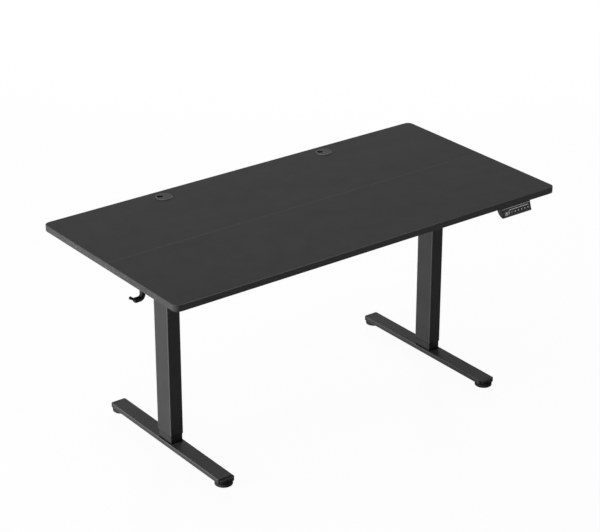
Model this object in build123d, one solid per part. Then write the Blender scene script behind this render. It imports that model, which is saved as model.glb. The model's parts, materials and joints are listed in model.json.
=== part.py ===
from build123d import *
import math
import os

# Height adjustable standing desk: one motor, a hexagonal cross shaft and two lifting columns.
# Millimetres. +X runs to the user's right, +Y to the back and +Z up. The origin is on the floor
# under the middle of the desktop, and the columns are modelled run all the way in.

# Desktop, made of a front and a rear board
desktop_width = 1524.0
desktop_depth = 762.0
desktop_thickness = 22.0
desktop_corner = 22.0
lowest_height = 714.0
edge_band = 2.0
edge_round = 1.6
seam_chamfer = 0.6

# Splice plates across the seam
splice_length = 96.0
splice_width = 36.0
splice_sheet = 2.0
splice_corner = 6.0
splice_screw_inset_x = 7.0
splice_screw_inset_y = 12.0
splice_inner_x = 150.0
splice_end_inset = 82.0
splice_outer_x = desktop_width / 2 - splice_end_inset

# Wood screws
wood_screw_radius = 2.0
wood_screw_bite = 14.0
wood_head_radius = 4.2
wood_head_height = 2.4
screw_clearance = 0.4

# Feet
foot_length = 644.0
foot_width = 56.0
foot_height = 16.0
foot_wall = 2.0
foot_corner = 1.5
cap_thickness = 12.0
cap_plan_corner = 6.0
cap_sole_round = 1.0
cap_groove = 1.2
cap_groove_depth = 0.8
cap_plug_length = 38.0
cap_fit = 0.2

# Levelling feet
pad_radius = 29.5
pad_height = 10.8
pad_chamfer = 0.8
pad_gap = 0.2
stud_radius = 4.0
stud_end_gap = 1.0
leveller_inset = 22.0
insert_flats = 13.0
insert_height = 6.5
thread_clearance = 0.15

# Lifting columns
column_offset = 548.0
outer_width = 49.0
outer_depth = 78.0
tube_wall = 1.5
tube_corner = 4.0
running_gap = 1.0
column_reveal = 29.0
head_room = 20.0
column_stroke = 460.0
glide_sheet = 0.8
glide_width = 24.0
glide_height = 30.0
glide_end_gap = 3.0
plug_fit = 0.1
base_plate = 8.0
foot_bolt_radius = 4.0
foot_bolt_head_radius = 6.5
foot_bolt_head = 4.0
foot_bolt_x = 10.0
foot_bolt_y = 22.0

# Spindles, nuts and bearings
spindle_radius = 7.0
spindle_collar_radius = 9.0
spindle_collar = 4.0
spindle_overrun = 10.0
journal_radius = 5.0
nut_height = 30.0
spindle_clearance = 0.1
bearing_radius = 15.0
bearing_width = 9.0

# Gear heads on top of the columns
head_plate = 6.0
head_width = 60.0
head_depth = 98.0
head_corner = 6.0
housing_height = 43.5
housing_floor = 5.0
housing_back_wall = 10.0
housing_front_wall = 6.0
housing_pocket_depth = 40.0
housing_pocket_corner = 4.0
bearing_lip = 2.5
shaft_rise = 22.0
gear_module = 2.0
gear_teeth = 14
gear_face = 7.0
gear_backlash = 0.4
gear_hub_radius = 10.5
gear_back = 0.7
gear_addendum = 1.6
gear_dedendum = 2.2
pressure_angle = 20.0

# Cross shaft
shaft_flats = 8.0
shaft_clearance = 0.35
shaft_fit = 0.05
shaft_end = 24.0

# Frame under the desktop
bracket_length = 560.0
bracket_width = 70.0
bracket_sheet = 2.5
bracket_height = 36.0
bracket_end_height = 12.0
bracket_straight = 120.0
bracket_screw_first = 125.0
bracket_screw_pitch = 65.0
bracket_screws_each_end = 3
bracket_fold = 2.0
shaft_window_radius = 9.0
rail_offset = 84.0
rail_width = 20.0
rail_sheet = 2.0
rail_end_plate = 3.0
frame_bolt_radius = 3.0
frame_bolt_head_radius = 5.0
frame_bolt_head = 4.0
frame_bolt_inset = 5.0
rail_bolt_pitch = 16.0
rail_bolt_end = 6.0
bolt_clearance = 0.2

# Drive unit
drive_length = 50.0
drive_nose_radius = 17.0
drive_round = 2.5
motor_radius = 25.0
motor_skin = 2.0
motor_length = 112.0
motor_offset = 38.0
motor_top_gap = 3.0
motor_groove = 5.0
motor_groove_depth = 1.0
motor_groove_inset = 6.0
motor_cap_length = 12.0
motor_cap_step = 2.0
motor_cap_round = 2.0
motor_cap_boss_radius = 9.0
drive_bolt_gap = 1.0
drive_bolt_pitch = 16.0
drive_bolt_depth = 14.0

# Control box
box_width = 210.0
box_depth = 96.0
box_height = 36.0
box_wall = 2.5
box_corner = 8.0
box_floor_round = 3.0
box_lid = 3.0
box_y = 190.0
ear_reach = 16.0
ear_width = 18.0
ear_corner = 6.0
ear_y = 30.0
socket_depth = 14.0
socket_recess = 11.0
socket_wall = 2.0
socket_fit = 0.1
socket_level = 17.0
power_socket = (24.0, 15.0)
motor_socket = (18.0, 13.0)
handset_socket = (16.0, 13.0)
socket_pitch = 27.0

# Cable grommets in the rear board
grommet_from_end = 429.0
grommet_x = desktop_width / 2 - grommet_from_end
grommet_inset = 50.0
grommet_hole_radius = 25.0
grommet_fit = 0.2
grommet_wall = 2.3
grommet_flange_radius = 28.5
grommet_flange = 2.0
grommet_flange_chamfer = 1.0
grommet_depth = 20.0
grommet_ledge = 2.5
grommet_ledge_sheet = 3.0
cap_disc = 3.0
cap_disc_chamfer = 0.5
cap_gap = 0.25
cap_slot_width = 16.0
cap_slot_reach = 20.0
cap_slot_angle = 149.0

# Handset under the front edge
handset_from_end = 176.8
handset_x = desktop_width / 2 - handset_from_end
handset_length = 128.5
handset_height = 32.7
handset_overhang = 9.5
handset_lean = 11.0
handset_depth = 33.0
handset_round = 2.5
handset_flange = 2.5
handset_flange_reach = 24.0
handset_flange_width = 92.0
handset_flange_corner = 5.0
handset_screw_x = 34.0
fascia_length = 118.0
fascia_height = 23.0
fascia_sheet = 1.6
fascia_corner = 4.0
fascia_fit = 0.1
cavity_length = 112.0
cavity_height = 20.0
cavity_depth = 7.0
cavity_corner = 2.0
board_sheet = 1.2
dome_radius = 3.0
key_count = 6
key_pitch = 14.3
first_key = 42.0
key_drop = 2.3
key_width = 10.8
key_height = 12.4
key_corner = 3.0
key_proud = 0.7
key_round = 0.6
key_gap = 0.25
key_flange = 0.8
key_flange_sheet = 1.0
key_stem = 2.2
key_travel = 0.8
key_stop_gap = 0.2
display_from_end = 20.5
display_width = 17.0
display_height = 11.0
display_drop = 3.5

# Headphone hook under the left edge
hook_from_end = 34.3
hook_x = hook_from_end - desktop_width / 2
hook_y = -147.0
hook_plate_x = 26.0
hook_plate_y = 44.0
hook_plate = 4.0
hook_plate_corner = 5.0
hook_bar = 13.0
hook_bar_depth = 16.0
hook_bar_round = 2.0
hook_drop = 55.8
hook_bend = 14.0
hook_reach = 31.0
hook_end_round = 1.8
hook_neck = 22.0
hook_neck_radius = 4.2
hook_neck_slope = 35.0
hook_ball_reach = 43.3
hook_ball_rise = 18.5
hook_ball_radius = 5.2
hook_screw_y = 15.0

# How far a cutter reaches past the face that it opens
cut_over = 1.0

# Levels and places worked out from the sizes above
underside = lowest_height - desktop_thickness
foot_bottom = pad_height + pad_gap
foot_top = foot_bottom + foot_height
outer_bottom = foot_top + column_reveal
housing_top = underside - bracket_sheet
housing_bottom = housing_top - housing_height
head_bottom = housing_bottom - head_plate
inner_top = head_bottom - head_room
nut_bottom = inner_top - nut_height
spindle_bottom = nut_bottom - column_stroke - spindle_overrun - spindle_collar
shaft_level = housing_bottom + shaft_rise
inner_width = outer_width - 2 * (tube_wall + running_gap)
inner_depth = outer_depth - 2 * (tube_wall + running_gap)
inner_corner = max(tube_corner - tube_wall - running_gap, 1.0)
bracket_inner_face = column_offset - bracket_width / 2
shaft_corner = shaft_flats / 2 / math.cos(math.pi / 6)
shaft_hole = shaft_corner + shaft_clearance
gear_pitch_radius = gear_module * gear_teeth / 2
gear_cone = gear_pitch_radius / math.sin(math.pi / 4)
gear_near = 1 - gear_face / gear_cone
gear_tip_angle = math.pi / 4 + math.atan(gear_addendum / gear_cone)
gear_root_angle = math.pi / 4 - math.atan(gear_dedendum / gear_cone)
motor_level = underside - motor_top_gap - motor_radius
grommet_y = desktop_depth / 2 - grommet_inset
foot_bolt_places = [(x, y) for x in (-foot_bolt_x, foot_bolt_x) for y in (-foot_bolt_y, foot_bolt_y)]
head_bolt_x = head_width / 2 - frame_bolt_inset
head_bolt_y = head_depth / 2 - frame_bolt_inset
head_bolt_places = [(x, y) for x in (-head_bolt_x, head_bolt_x) for y in (-head_bolt_y, head_bolt_y)]
rail_bolt_levels = [underside - bracket_height / 2 + turn * rail_bolt_pitch / 2 for turn in (-1, 1)]
drive_bolt_y = head_depth / 2 + frame_bolt_head_radius + drive_bolt_gap
drive_bolt_levels = [motor_level + turn * drive_bolt_pitch / 2 for turn in (-1, 1)]
sides = {"left": -1, "right": 1}
ends = {"front": -1, "rear": 1}

os.makedirs("parts", exist_ok=True)


def save(node, *solids):
    """Write one node: a single solid, or a group of separate identical ones."""
    shape = solids[0] if len(solids) == 1 else Compound(list(solids))
    export_step(shape, f"parts/{node}.step")


def block(low, high):
    """Box between two opposite corners."""
    size = [b - a for a, b in zip(low, high)]
    middle = [(a + b) / 2 for a, b in zip(low, high)]
    return Pos(*middle) * Box(*size)


def post(radius, bottom, top, x=0.0, y=0.0):
    """Upright round bar."""
    return Pos(x, y, (bottom + top) / 2) * Cylinder(radius, top - bottom)


def bar_along_x(radius, start, end, y, z):
    """Round bar along X."""
    return Pos((start + end) / 2, y, z) * Rot(0, 90, 0) * Cylinder(radius, end - start)


def drill(radius, bottom, top, x=0.0, y=0.0):
    """Cutter for an upright hole through a plate between two levels."""
    return post(radius, bottom - cut_over, top + cut_over, x, y)


def drill_along_x(radius, start, end, y, z):
    """Cutter for a hole along X through a wall between two places."""
    return bar_along_x(radius, start - cut_over, end + cut_over, y, z)


def prism(outline, bottom, top):
    """Flat outline raised from one level to another."""
    return Pos(0, 0, bottom) * extrude(outline, top - bottom)


def rounded(width, depth, corner):
    """Rectangle with round corners no larger than it can hold."""
    return RectangleRounded(width, depth, min(corner, 0.49 * width, 0.49 * depth))


def ring_section(width, depth, wall, corner):
    """Wall section of a rectangular tube."""
    inner = rounded(width - 2 * wall, depth - 2 * wall, max(corner - wall, 0.3))
    return rounded(width, depth, corner) - inner


# Feet


def foot_beam():
    length = foot_length - 2 * cap_thickness
    start = Plane(origin=(0, length / 2, foot_bottom + foot_height / 2), x_dir=(1, 0, 0), z_dir=(0, -1, 0))
    beam = extrude(start * ring_section(foot_width, foot_height, foot_wall, foot_corner), length)
    for x, y in foot_bolt_places:
        beam -= drill(foot_bolt_radius + bolt_clearance, foot_bottom, foot_top, x, y)
    for end in ends.values():
        y = end * (foot_length / 2 - leveller_inset)
        beam -= drill(stud_radius + bolt_clearance, foot_bottom, foot_bottom + foot_wall, 0, y)
    return beam


def insert_outline(clearance):
    return RegularPolygon(insert_flats / 2 + clearance, 6, major_radius=False)


def foot_cap():
    """End cap for the rear of a foot: a rounded face and a plug that holds the leveller's nut."""
    face_y = foot_length / 2
    joint_y = face_y - cap_thickness
    plan = Pos(0, face_y - foot_width / 2) * rounded(foot_width, foot_width, cap_plan_corner)
    face = prism(plan, foot_bottom, foot_top)
    face = fillet(face.edges().group_by(Axis.Z)[-1], foot_corner)
    face = fillet(face.edges().group_by(Axis.Z)[0], cap_sole_round)
    face &= block(
        (-foot_width, joint_y + cap_groove, foot_bottom - cut_over),
        (foot_width, face_y + cut_over, foot_top + cut_over),
    )
    neck_start = Plane(
        origin=(0, joint_y + cap_groove, foot_bottom + foot_height / 2), x_dir=(1, 0, 0), z_dir=(0, -1, 0)
    )
    neck_section = rounded(
        foot_width - 2 * cap_groove_depth, foot_height - 2 * cap_groove_depth, foot_corner - cap_groove_depth
    )
    face += extrude(neck_start * neck_section, cap_groove)
    plug_half = foot_width / 2 - foot_wall - cap_fit
    plug_bottom = foot_bottom + foot_wall + cap_fit
    plug_top = foot_top - foot_wall - cap_fit
    plug = block((-plug_half, joint_y - cap_plug_length, plug_bottom), (plug_half, joint_y, plug_top))
    plug = fillet(plug.edges().filter_by(Axis.Y), max(foot_corner - foot_wall, 0.3))
    nut_y = face_y - leveller_inset
    pocket = prism(insert_outline(plug_fit), plug_bottom - cut_over, plug_bottom + insert_height)
    plug -= Pos(0, nut_y) * pocket
    plug -= drill(stud_radius + bolt_clearance, plug_bottom, plug_top, 0, nut_y)
    return face + plug


def leveller_insert():
    bottom = foot_bottom + foot_wall + cap_fit
    nut = prism(insert_outline(0), bottom, bottom + insert_height)
    return nut - drill(stud_radius + thread_clearance, bottom, bottom + insert_height)


def leveller():
    """Round pad with its threaded stud, screwed all the way in."""
    pad = post(pad_radius, 0, pad_height)
    pad = chamfer(pad.edges().filter_by(GeomType.CIRCLE), pad_chamfer)
    stud_top = foot_top - foot_wall - stud_end_gap
    return pad + post(stud_radius, pad_height, stud_top)


# Columns


def outer_tube():
    return prism(ring_section(outer_width, outer_depth, tube_wall, tube_corner), outer_bottom, head_bottom)


def inner_tube():
    return prism(ring_section(inner_width, inner_depth, tube_wall, inner_corner), foot_top, inner_top)


def inner_plug(bottom, top):
    """Block that fills the inner tube between two levels."""
    width = inner_width - 2 * (tube_wall + plug_fit)
    depth = inner_depth - 2 * (tube_wall + plug_fit)
    return prism(rounded(width, depth, max(inner_corner - tube_wall, 0.5)), bottom, top)


def column_base():
    plate = inner_plug(foot_top, foot_top + base_plate)
    for x, y in foot_bolt_places:
        plate -= drill(foot_bolt_radius + plug_fit, foot_top, foot_top + base_plate, x, y)
    return plate


def foot_bolt():
    head = post(foot_bolt_head_radius, foot_bottom - foot_bolt_head, foot_bottom)
    head = fillet(head.edges().group_by(Axis.Z)[0], foot_bolt_head / 3)
    return head + post(foot_bolt_radius, foot_bottom, foot_top + base_plate)


def spindle_nut():
    nut = inner_plug(nut_bottom, inner_top)
    return nut - drill(spindle_radius + spindle_clearance, nut_bottom, inner_top)


def glide_pads(width, depth, wall, bottom):
    """Four thin pads standing on the outside of a rectangle of the given size."""
    top = bottom + glide_height
    pads = []
    for turn in (-1, 1):
        x = turn * (width / 2 + wall / 2)
        y = turn * (depth / 2 + wall / 2)
        pads.append(Pos(x, 0, (bottom + top) / 2) * Box(wall, glide_width, glide_height))
        pads.append(Pos(0, y, (bottom + top) / 2) * Box(glide_width, wall, glide_height))
    return pads


def inner_glides():
    return glide_pads(inner_width, inner_depth, glide_sheet, inner_top - glide_end_gap - glide_height)


def outer_glides():
    """Pads on the inside of the outer tube's lower end."""
    width = outer_width - 2 * (tube_wall + glide_sheet)
    depth = outer_depth - 2 * (tube_wall + glide_sheet)
    return glide_pads(width, depth, glide_sheet, outer_bottom + glide_end_gap)


# Gear heads


def column_head():
    plate = prism(rounded(head_width, head_depth, head_corner), head_bottom, housing_bottom)
    plate -= drill(bearing_radius, head_bottom, housing_bottom)
    for x, y in head_bolt_places:
        plate -= drill(frame_bolt_radius + bolt_clearance, head_bottom, housing_bottom, x, y)
    return plate


def gear_housing():
    """Cast cup, open at the top, with a seat for the spindle bearing in its floor."""
    housing = prism(rounded(head_width, head_depth, head_corner), housing_bottom, housing_top)
    pocket_width = head_width - housing_back_wall - housing_front_wall
    pocket_x = (housing_back_wall - housing_front_wall) / 2
    pocket = Pos(pocket_x, 0) * rounded(pocket_width, housing_pocket_depth, housing_pocket_corner)
    housing -= prism(pocket, housing_bottom + housing_floor, housing_top + cut_over)
    housing -= post(bearing_radius, housing_bottom - cut_over, head_bottom + bearing_width)
    housing -= drill(bearing_radius - bearing_lip, housing_bottom, housing_bottom + housing_floor)
    housing -= drill_along_x(shaft_hole, -head_width / 2, head_width / 2, 0, shaft_level)
    for x, y in head_bolt_places:
        housing -= drill(frame_bolt_radius + bolt_clearance, housing_bottom, housing_top, x, y)
    return housing


def spindle_bearing():
    top = head_bottom + bearing_width
    ring = post(bearing_radius, head_bottom, top)
    return ring - drill(journal_radius + spindle_clearance, head_bottom, top)


def mitre_gear(bore, first_tooth):
    """Straight mitre gear: its cone's point is at the origin and its back faces -Z."""
    slope = math.tan(math.radians(pressure_angle)) / gear_pitch_radius
    pitch_half = math.pi / (2 * gear_teeth) - gear_backlash / (2 * gear_pitch_radius)
    tip_half = pitch_half - gear_addendum * slope
    root_half = pitch_half + gear_dedendum * slope

    def on_cone(share, cone_angle, turn):
        flat = share * gear_cone * math.sin(cone_angle)
        drop = share * gear_cone * math.cos(cone_angle)
        return (flat * math.cos(turn), flat * math.sin(turn), -drop)

    def tooth_section(share):
        points = [
            on_cone(share, gear_root_angle, -root_half),
            on_cone(share, gear_tip_angle, -tip_half),
            on_cone(share, gear_tip_angle, tip_half),
            on_cone(share, gear_root_angle, root_half),
        ]
        return Face(Wire.make_polygon(points, close=True))

    tooth = loft([tooth_section(1), tooth_section(gear_near)], ruled=True)
    root_far = on_cone(1, gear_root_angle, 0)
    root_near = on_cone(gear_near, gear_root_angle, 0)
    back = root_far[2] - gear_back
    profile = Polyline(
        (0, 0, root_near[2]),
        root_near,
        root_far,
        (gear_hub_radius, 0, back),
        (0, 0, back),
        close=True,
    )
    gear = revolve(make_face(profile), Axis.Z)
    step = 360 / gear_teeth
    gear += [Rot(0, 0, (first_tooth + count) * step) * tooth for count in range(gear_teeth)]
    return gear - prism(bore, back - cut_over, 0)


def spindle_gear():
    return Pos(0, 0, shaft_level) * mitre_gear(Circle(journal_radius), 0)


def shaft_pinion():
    """Pinion on the +X side of a spindle, half a tooth round from the spindle's gear."""
    hexagon = RegularPolygon(shaft_flats / 2 + shaft_fit, 6, major_radius=False)
    return Pos(0, 0, shaft_level) * Rot(0, -90, 0) * mitre_gear(hexagon, 0.5)


def spindle():
    gear_top = shaft_level - gear_near * gear_cone * math.cos(gear_root_angle)
    shoulder = head_bottom - spindle_clearance
    screw = post(spindle_radius, spindle_bottom, shoulder)
    screw += post(spindle_collar_radius, shoulder - spindle_collar, shoulder)
    screw += post(spindle_collar_radius, spindle_bottom, spindle_bottom + spindle_collar)
    return screw + post(journal_radius, shoulder, gear_top)


def cross_shaft():
    start = -column_offset + shaft_corner
    end = column_offset + shaft_end
    plane = Plane(origin=(start, 0, shaft_level), x_dir=(0, 1, 0), z_dir=(1, 0, 0))
    hexagon = plane * RegularPolygon(shaft_flats / 2, 6, major_radius=False, rotation=90)
    return extrude(hexagon, end - start)


# Frame under the desktop


def side_bracket():
    """Folded channel along the column's head, with flanges that taper towards both ends."""
    half_length = bracket_length / 2
    half_width = bracket_width / 2
    web = block((-half_width, -half_length, housing_top), (half_width, half_length, underside))
    low = underside - bracket_height
    end_low = underside - bracket_end_height
    flange_outline = Polyline(
        (-half_length, underside),
        (-half_length, end_low),
        (-bracket_straight, low),
        (bracket_straight, low),
        (half_length, end_low),
        (half_length, underside),
        close=True,
    )
    plane = Plane(origin=(half_width - bracket_sheet, 0, 0), x_dir=(0, 1, 0), z_dir=(1, 0, 0))
    flange = extrude(plane * make_face(flange_outline), bracket_sheet)
    bracket = web + flange + mirror(flange, Plane.YZ)
    bracket = fillet(bracket.edges().filter_by(Axis.Y).group_by(Axis.Z)[-1], min(bracket_fold, bracket_sheet))
    bracket -= drill_along_x(shaft_window_radius, -half_width, half_width, 0, shaft_level)
    for x, y in head_bolt_places:
        bracket -= drill(frame_bolt_radius + bolt_clearance, housing_top, underside, x, y)
    for y in bracket_screw_places():
        bracket -= drill(wood_screw_radius + screw_clearance, housing_top, underside, 0, y)
    flange_bolts = [(y, z) for y in (-rail_offset, rail_offset) for z in rail_bolt_levels]
    flange_bolts += [(drive_bolt_y, z) for z in drive_bolt_levels]
    for y, z in flange_bolts:
        bracket -= drill_along_x(frame_bolt_radius + bolt_clearance, -half_width, half_width, y, z)
    return bracket


def bracket_screw_places():
    steps = [bracket_screw_first + count * bracket_screw_pitch for count in range(bracket_screws_each_end)]
    return [-y for y in steps] + steps


def cross_rail(end):
    """Channel between the two brackets, open towards the middle, with a plate at each end."""
    low = underside - bracket_height
    y_outer = end * (rail_offset + rail_width / 2)
    y_inner = end * (rail_offset - rail_width / 2)
    y_low, y_high = sorted((y_outer, y_inner))
    rail = block((-bracket_inner_face, y_low, low), (bracket_inner_face, y_high, underside))
    pocket_outer = y_outer - end * rail_sheet
    pocket_low, pocket_high = sorted((pocket_outer, y_inner - end * cut_over))
    half = bracket_inner_face - rail_end_plate
    rail -= block((-half, pocket_low, low + rail_sheet), (half, pocket_high, underside - rail_sheet))
    for z in rail_bolt_levels:
        for start in (-bracket_inner_face, half):
            stop = start + rail_end_plate
            rail -= drill_along_x(frame_bolt_radius + bolt_clearance, start, stop, end * rail_offset, z)
    return rail


def frame_bolt(length):
    """Bolt along +Z with the underside of its head at the origin."""
    head = post(frame_bolt_head_radius, -frame_bolt_head, 0)
    head = fillet(head.edges().group_by(Axis.Z)[0], frame_bolt_head / 4)
    return head + post(frame_bolt_radius, 0, length)


def frame_bolts():
    bolts = []
    head_length = underside - head_bottom
    rail_length = bracket_sheet + rail_end_plate + rail_bolt_end
    for turn in sides.values():
        for x, y in head_bolt_places:
            bolts.append(Pos(turn * column_offset + x, y, head_bottom) * frame_bolt(head_length))
        seat = turn * (bracket_inner_face + bracket_sheet)
        for y in (-rail_offset, rail_offset):
            for z in rail_bolt_levels:
                bolts.append(Pos(seat, y, z) * Rot(0, -turn * 90, 0) * frame_bolt(rail_length))
    for z in drive_bolt_levels:
        seat = -bracket_inner_face - bracket_sheet
        bolts.append(Pos(seat, drive_bolt_y, z) * Rot(0, 90, 0) * frame_bolt(drive_bolt_depth))
    return bolts


# Desktop


def half_plane(end):
    """Block that covers the front or the rear half of the desktop."""
    y_low, y_high = sorted((0.0, end * desktop_depth / 2))
    half_width = desktop_width / 2
    return block((-half_width, y_low, underside), (half_width, y_high, lowest_height))


def core_outline():
    core_corner = max(desktop_corner - edge_band, 0.5)
    return rounded(desktop_width - 2 * edge_band, desktop_depth - 2 * edge_band, core_corner)


def board(end):
    core = prism(core_outline(), underside, lowest_height) & half_plane(end)
    seam = core.edges().filter_by(Axis.X).group_by(Axis.Z)[-1].sort_by(Axis.Y)
    core = chamfer(seam[-1] if end < 0 else seam[0], seam_chamfer)
    if end > 0:
        for turn in sides.values():
            x = turn * grommet_x
            core -= drill(grommet_hole_radius, underside, lowest_height, x, grommet_y)
    return core


def edge_strip(end):
    """Edge band round three sides of one board."""
    slab = prism(rounded(desktop_width, desktop_depth, desktop_corner), underside, lowest_height)
    rims = slab.edges().group_by(Axis.Z)[0] + slab.edges().group_by(Axis.Z)[-1]
    slab = fillet(rims, min(edge_round, 0.9 * edge_band))
    core = prism(core_outline(), underside - cut_over, lowest_height + cut_over)
    return (slab - core) & half_plane(end)


def splice_screw_places():
    x = splice_width / 2 - splice_screw_inset_x
    y = splice_length / 2 - splice_screw_inset_y
    return [(a, b) for a in (-x, x) for b in (-y, y)]


def splice_plate():
    plate = prism(rounded(splice_width, splice_length, splice_corner), underside - splice_sheet, underside)
    for x, y in splice_screw_places():
        plate -= drill(wood_screw_radius + screw_clearance, underside - splice_sheet, underside, x, y)
    return plate


def wood_screw(x, y, seat):
    """Pan head screw whose head bears up against a sheet at the given level."""
    head = post(wood_head_radius, seat - wood_head_height, seat)
    head = fillet(head.edges().group_by(Axis.Z)[0], wood_head_height / 3)
    return Pos(x, y) * (head + post(wood_screw_radius, seat, underside + wood_screw_bite))


def splice_centres():
    return [-splice_outer_x, -splice_inner_x, splice_inner_x, splice_outer_x]


def board_screws():
    places = []
    for turn in sides.values():
        places += [(turn * column_offset, y, housing_top) for y in bracket_screw_places()]
    for centre in splice_centres():
        places += [(centre + x, y, underside - splice_sheet) for x, y in splice_screw_places()]
    places += [(x, y, underside - box_lid) for x, y in ear_screw_places()]
    flange_y = handset_front + handset_depth + handset_flange_reach / 2
    for turn in (-1, 1):
        places.append((handset_x + turn * handset_screw_x, flange_y, underside - handset_flange))
        places.append((hook_x, hook_y + turn * hook_screw_y, underside - hook_plate))
    return [wood_screw(x, y, seat) for x, y, seat in places]


# Drive unit


def drive_housing():
    """Gear case round the cross shaft, with the motor's flange beside it."""
    start = -bracket_inner_face
    plane = Plane(origin=(start, 0, 0), x_dir=(0, 1, 0), z_dir=(1, 0, 0))
    nose = Pos(0, shaft_level) * Circle(drive_nose_radius)
    flange = Pos(motor_offset, motor_level) * Circle(motor_radius + motor_skin)
    case = extrude(plane * make_hull((nose + flange).edges()), drive_length)
    case = fillet(case.faces().sort_by(Axis.X)[-1].edges(), drive_round)
    case -= drill_along_x(shaft_hole, start, start + drive_length, 0, shaft_level)
    for z in drive_bolt_levels:
        hole_end = start + drive_bolt_depth
        case -= drill_along_x(frame_bolt_radius + bolt_clearance, start, hole_end, drive_bolt_y, z)
    return case


def motor_can():
    start = -bracket_inner_face + drive_length
    can = bar_along_x(motor_radius, start, start + motor_length, motor_offset, motor_level)
    groove_end = start + motor_length - motor_groove_inset
    groove_start = groove_end - motor_groove
    groove = bar_along_x(motor_radius + cut_over, groove_start, groove_end, motor_offset, motor_level)
    core = bar_along_x(motor_radius - motor_groove_depth, groove_start, groove_end, motor_offset, motor_level)
    return can - (groove - core)


def motor_end_cap():
    start = -bracket_inner_face + drive_length + motor_length
    step = start + motor_cap_length - motor_cap_step
    cap = bar_along_x(motor_radius - motor_groove_depth, start, step, motor_offset, motor_level)
    cap = fillet(cap.edges().filter_by(GeomType.CIRCLE).sort_by(Axis.X)[-1], motor_cap_round)
    return cap + bar_along_x(motor_cap_boss_radius, step, step + motor_cap_step, motor_offset, motor_level)


# Control box


def socket_sizes():
    return [power_socket, motor_socket, handset_socket]


def socket_places():
    return [(box_y + (1 - count) * socket_pitch, size) for count, size in enumerate(socket_sizes())]


def box_shell():
    top = underside - box_lid
    bottom = top - box_height
    outer = Pos(0, box_y) * rounded(box_width, box_depth, box_corner)
    inner_size = (box_width - 2 * box_wall, box_depth - 2 * box_wall)
    inner = Pos(0, box_y) * rounded(*inner_size, max(box_corner - box_wall, 0.5))
    shell = prism(outer, bottom, top)
    shell = fillet(shell.faces().sort_by(Axis.Z)[0].edges(), box_floor_round)
    shell -= prism(inner, bottom + box_wall, top + cut_over)
    for y, (wide, high) in socket_places():
        z = bottom + socket_level
        window = Box(2 * (box_wall + cut_over), wide, high)
        shell -= Pos(-box_width / 2, y, z) * window
    return shell


def box_sockets():
    sockets = []
    for y, (wide, high) in socket_places():
        z = underside - box_lid - box_height + socket_level
        start = -box_width / 2
        half_y = wide / 2 - socket_fit
        half_z = high / 2 - socket_fit
        body = block((start, y - half_y, z - half_z), (start + socket_depth, y + half_y, z + half_z))
        half_y -= socket_wall
        half_z -= socket_wall
        recess_end = start + socket_recess
        recess = block((start - cut_over, y - half_y, z - half_z), (recess_end, y + half_y, z + half_z))
        sockets.append(body - recess)
    return sockets


def ear_screw_places():
    x = box_width / 2 + ear_reach / 2
    return [(a, box_y + b) for a in (-x, x) for b in (-ear_y, ear_y)]


def box_lid_plate():
    outline = Pos(0, box_y) * rounded(box_width, box_depth, box_corner)
    for y in (-ear_y, ear_y):
        outline += Pos(0, box_y + y) * rounded(box_width + 2 * ear_reach, ear_width, ear_corner)
    lid = prism(outline, underside - box_lid, underside)
    for x, y in ear_screw_places():
        lid -= drill(wood_screw_radius + screw_clearance, underside - box_lid, underside, x, y)
    return lid


# Cable grommets


def grommet_liner():
    outer = grommet_hole_radius - grommet_fit
    inner = outer - grommet_wall
    rim_top = lowest_height + grommet_flange
    seat = rim_top - cap_disc - grommet_fit
    profile = Polyline(
        (inner, 0, rim_top),
        (grommet_flange_radius - grommet_flange_chamfer, 0, rim_top),
        (grommet_flange_radius, 0, rim_top - grommet_flange_chamfer),
        (grommet_flange_radius, 0, lowest_height),
        (outer, 0, lowest_height),
        (outer, 0, lowest_height - grommet_depth),
        (inner, 0, lowest_height - grommet_depth),
        (inner, 0, seat - grommet_ledge_sheet - grommet_ledge),
        (inner - grommet_ledge, 0, seat - grommet_ledge_sheet),
        (inner - grommet_ledge, 0, seat),
        (inner, 0, seat),
        close=True,
    )
    return revolve(make_face(profile), Axis.Z)


def grommet_cap():
    """Turning disc with a slot at its rim for cables."""
    radius = grommet_hole_radius - grommet_fit - grommet_wall - cap_gap
    top = lowest_height + grommet_flange
    disc = post(radius, top - cap_disc, top)
    slot_end = radius - cap_slot_reach + cap_slot_width / 2
    slot = Pos(slot_end + radius / 2, 0) * Rectangle(radius, cap_slot_width)
    slot += Pos(slot_end, 0) * Circle(cap_slot_width / 2)
    disc -= Rot(0, 0, cap_slot_angle) * prism(slot, top - cap_disc - cut_over, top + cut_over)
    return chamfer(disc.edges().group_by(Axis.Z)[-1], cap_disc_chamfer)


# Handset

handset_front = -desktop_depth / 2 - handset_overhang
handset_face = Plane(
    origin=(handset_x, handset_front + handset_lean / 2, underside - handset_height / 2),
    x_dir=(1, 0, 0),
    z_dir=(0, -handset_height, handset_lean),
)
handset_left = -handset_length / 2


def face_block(outline, low, high):
    """Outline on the leaning front face, raised between two depths measured outwards."""
    return handset_face * prism(outline, low, high)


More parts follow.
